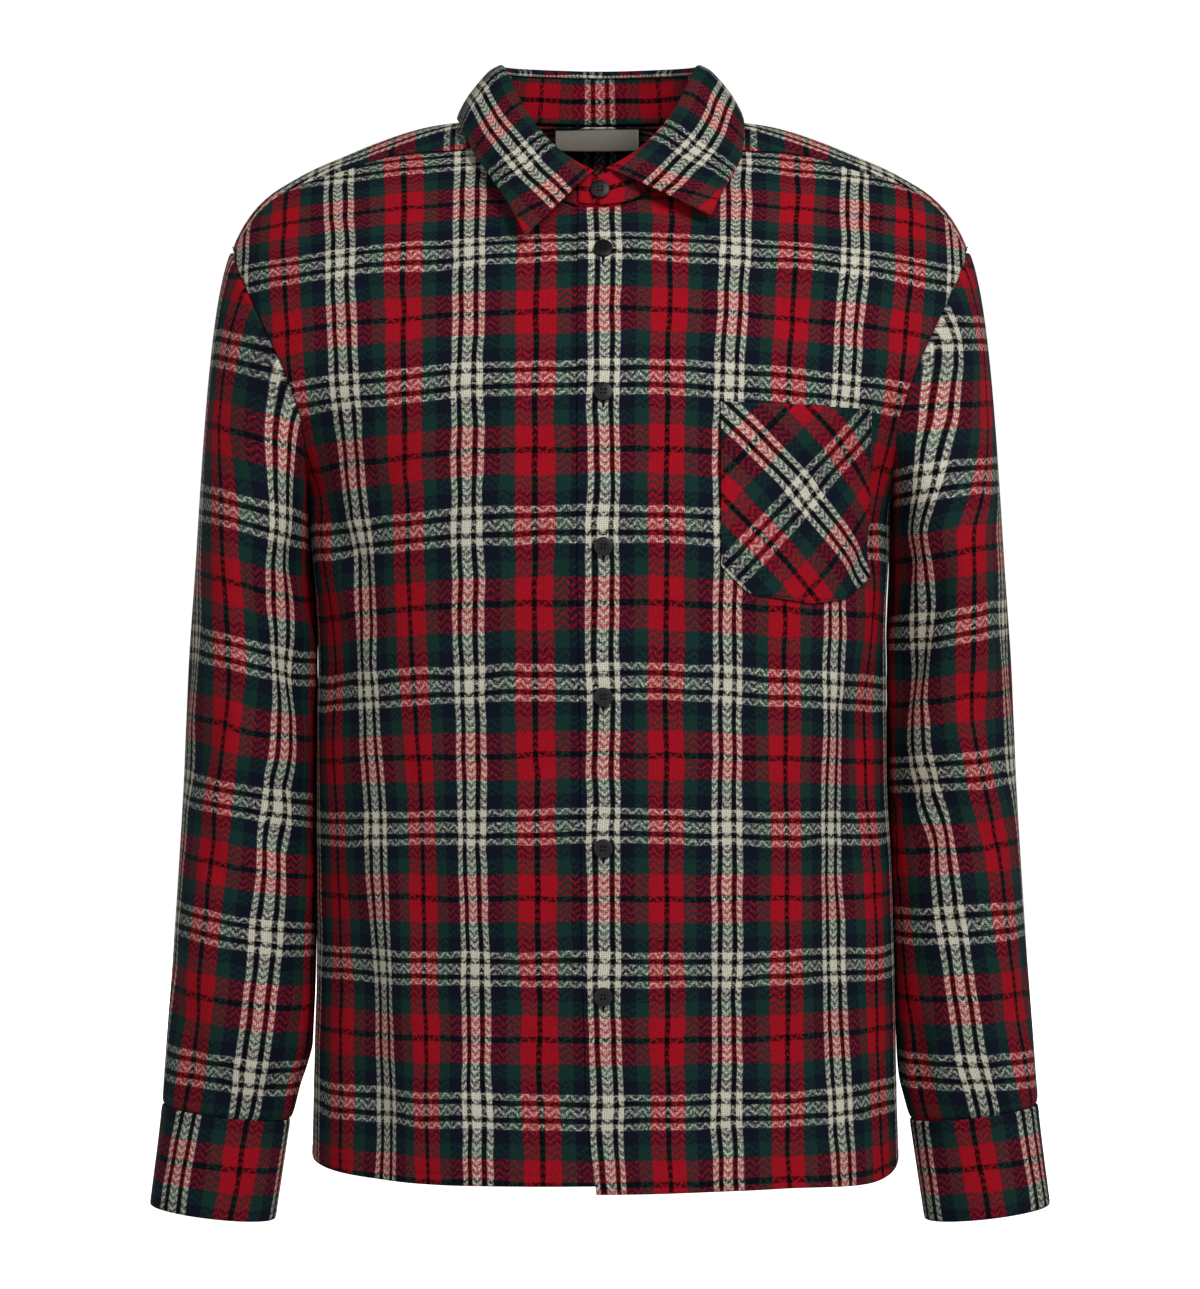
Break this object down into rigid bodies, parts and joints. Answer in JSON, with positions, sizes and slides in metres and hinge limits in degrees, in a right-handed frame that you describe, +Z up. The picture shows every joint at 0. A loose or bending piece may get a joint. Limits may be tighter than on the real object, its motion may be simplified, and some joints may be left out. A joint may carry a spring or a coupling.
{
  "type": "shirt",
  "caption": "Long-sleeved button-front shirt in brushed check cloth, filled out and hollow as if worn, with a turned-down collar, a yoke and a chest pocket.",
  "frame": {"origin": "middle of the base of the neck, where the garment hangs from the shoulders", "axes": "+Z up to the collar, -Y to the front, +X to the wearer's left; the garment's longest extent is along Z"},
  "size_m": [0.5808, 0.2709, 0.7529],
  "materials": {
    "check_cloth": "brushed matt twill woven in a red, green, navy, black and cream check",
    "label_cloth": "plain woven tape",
    "button_plastic": "dark, softly polished"
  },
  "bodies": {
    "root": {"front_left": "check_cloth", "front_right": "check_cloth", "back": "check_cloth", "yoke": "check_cloth", "sleeve_left": "check_cloth", "sleeve_right": "check_cloth", "sleeve_placket_left": "check_cloth", "sleeve_placket_right": "check_cloth", "cuff_left": "check_cloth", "cuff_right": "check_cloth", "collar_stand": "check_cloth", "collar_leaf": "check_cloth", "pocket": "check_cloth", "neck_label": "label_cloth", "button_1": "button_plastic", "button_2": "button_plastic", "button_3": "button_plastic", "button_4": "button_plastic", "button_5": "button_plastic", "button_6": "button_plastic", "button_stand": "button_plastic", "button_cuff_left": "button_plastic", "button_cuff_right": "button_plastic"}
  },
  "joints": []
}
